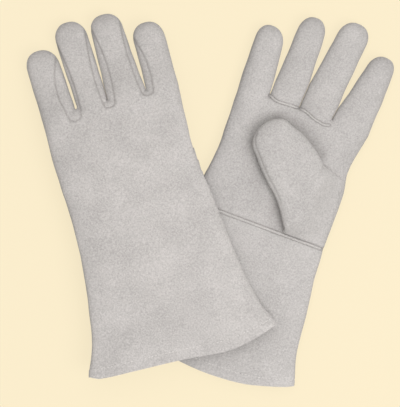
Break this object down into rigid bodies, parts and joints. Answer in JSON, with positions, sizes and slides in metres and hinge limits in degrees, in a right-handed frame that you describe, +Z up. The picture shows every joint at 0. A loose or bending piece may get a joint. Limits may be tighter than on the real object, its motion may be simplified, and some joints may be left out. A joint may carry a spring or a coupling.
{
  "type": "welding gloves",
  "caption": "Pair of lined split-leather gauntlet gloves lying crossed, one palm up and one palm down, with curling fingers, opening thumbs and bending cuffs.",
  "frame": {"origin": "middle of the pair's footprint, on the surface that the lower glove lies on", "axes": "+Z up from the table, +Y towards the fingertips, +X towards the lower glove's fingers, from the upper glove's"},
  "size_m": [0.363, 0.3704, 0.0419],
  "materials": {
    "suede_back": "napped split leather, matte",
    "suede_palm": "napped split leather, matte",
    "suede_fourchette": "napped split leather, matte",
    "suede_welt": "napped split leather, matte",
    "lining_fleece": "brushed cotton"
  },
  "bodies": {
    "right_cuff": {"right_cuff_back": "suede_back", "right_cuff_hem": "suede_palm", "right_cuff_lining": "lining_fleece", "right_cuff_palm": "suede_palm", "right_wrist_welt": "suede_welt"},
    "right_hand": {"right_finger_base_welt": "suede_welt", "right_hand_back": "suede_back", "right_hand_lining": "lining_fleece", "right_hand_palm": "suede_palm"},
    "right_index": {"right_index_back": "suede_back", "right_index_fourchette_little_side": "suede_fourchette", "right_index_front": "suede_palm", "right_index_lining": "lining_fleece"},
    "right_little": {"right_little_back": "suede_back", "right_little_fourchette_index_side": "suede_fourchette", "right_little_front": "suede_palm", "right_little_lining": "lining_fleece"},
    "right_middle": {"right_middle_back": "suede_back", "right_middle_fourchette_index_side": "suede_fourchette", "right_middle_fourchette_little_side": "suede_fourchette", "right_middle_front": "suede_palm", "right_middle_lining": "lining_fleece"},
    "right_ring": {"right_ring_back": "suede_back", "right_ring_fourchette_index_side": "suede_fourchette", "right_ring_fourchette_little_side": "suede_fourchette", "right_ring_front": "suede_palm", "right_ring_lining": "lining_fleece"},
    "right_thumb": {"right_thumb_inner": "suede_back", "right_thumb_lining": "lining_fleece", "right_thumb_outer": "suede_palm"},
    "left_cuff": {"left_cuff_back": "suede_back", "left_cuff_hem": "suede_palm", "left_cuff_lining": "lining_fleece", "left_cuff_palm": "suede_palm", "left_wrist_welt": "suede_welt"},
    "left_hand": {"left_finger_base_welt": "suede_welt", "left_hand_back": "suede_back", "left_hand_lining": "lining_fleece", "left_hand_palm": "suede_palm"},
    "left_index": {"left_index_back": "suede_back", "left_index_fourchette_little_side": "suede_fourchette", "left_index_front": "suede_palm", "left_index_lining": "lining_fleece"},
    "left_little": {"left_little_back": "suede_back", "left_little_fourchette_index_side": "suede_fourchette", "left_little_front": "suede_palm", "left_little_lining": "lining_fleece"},
    "left_middle": {"left_middle_back": "suede_back", "left_middle_fourchette_index_side": "suede_fourchette", "left_middle_fourchette_little_side": "suede_fourchette", "left_middle_front": "suede_palm", "left_middle_lining": "lining_fleece"},
    "left_ring": {"left_ring_back": "suede_back", "left_ring_fourchette_index_side": "suede_fourchette", "left_ring_fourchette_little_side": "suede_fourchette", "left_ring_front": "suede_palm", "left_ring_lining": "lining_fleece"},
    "left_thumb": {"left_thumb_inner": "suede_back", "left_thumb_lining": "lining_fleece", "left_thumb_outer": "suede_palm"}
  },
  "joints": [
    {"name": "right_wrist_bend", "type": "hinge", "parent": "right_hand", "child": "right_cuff", "pos_m": [0.04131, -0.02334, 0], "axis": [0.9373, -0.3486, 0], "range_deg": [0, 45]},
    {"name": "right_little_curl", "type": "hinge", "parent": "right_hand", "child": "right_little", "pos_m": [0.04166, 0.10584, 0.0183], "axis": [0.9373, -0.3486, 0], "range_deg": [0, 75]},
    {"name": "right_ring_curl", "type": "hinge", "parent": "right_hand", "child": "right_ring", "pos_m": [0.07152, 0.09474, 0.0183], "axis": [0.9373, -0.3486, 0], "range_deg": [0, 75]},
    {"name": "right_middle_curl", "type": "hinge", "parent": "right_hand", "child": "right_middle", "pos_m": [0.10221, 0.08333, 0.0183], "axis": [0.9373, -0.3486, 0], "range_deg": [0, 75]},
    {"name": "right_index_curl", "type": "hinge", "parent": "right_hand", "child": "right_index", "pos_m": [0.13708, 0.07036, 0.0183], "axis": [0.9373, -0.3486, 0], "range_deg": [0, 75]},
    {"name": "right_thumb_open", "type": "hinge", "parent": "right_hand", "child": "right_thumb", "pos_m": [0.0907, 0.00332, 0.0372], "axis": [0.521, 0.8535, 0.0109], "range_deg": [0, 110]},
    {"name": "left_wrist_bend", "type": "hinge", "parent": "left_hand", "child": "left_cuff", "pos_m": [-0.06496, -0.00524, 0.0395], "axis": [-0.965, -0.2622, 0], "range_deg": [0, 45]},
    {"name": "left_little_curl", "type": "hinge", "parent": "left_hand", "child": "left_little", "pos_m": [-0.14863, 0.08208, 0.0175], "axis": [-0.965, -0.2622, 0], "range_deg": [0, 75]},
    {"name": "left_ring_curl", "type": "hinge", "parent": "left_hand", "child": "left_ring", "pos_m": [-0.11635, 0.09085, 0.0175], "axis": [-0.965, -0.2622, 0], "range_deg": [0, 75]},
    {"name": "left_middle_curl", "type": "hinge", "parent": "left_hand", "child": "left_middle", "pos_m": [-0.08194, 0.1002, 0.0175], "axis": [-0.965, -0.2622, 0], "range_deg": [0, 75]},
    {"name": "left_index_curl", "type": "hinge", "parent": "left_hand", "child": "left_index", "pos_m": [-0.04783, 0.10947, 0.0175], "axis": [-0.965, -0.2622, 0], "range_deg": [0, 75]},
    {"name": "left_thumb_open", "type": "hinge", "parent": "left_hand", "child": "left_thumb", "pos_m": [-0.04286, 0.03931, 0.00204], "axis": [0.0562, -0.9984, 0.0017], "range_deg": [0, 110]},
    {"name": "left_glove_lift", "type": "slide", "parent": "right_hand", "child": "left_hand", "axis": [0, 0, 1], "range_m": [0, 0.15]}
  ]
}
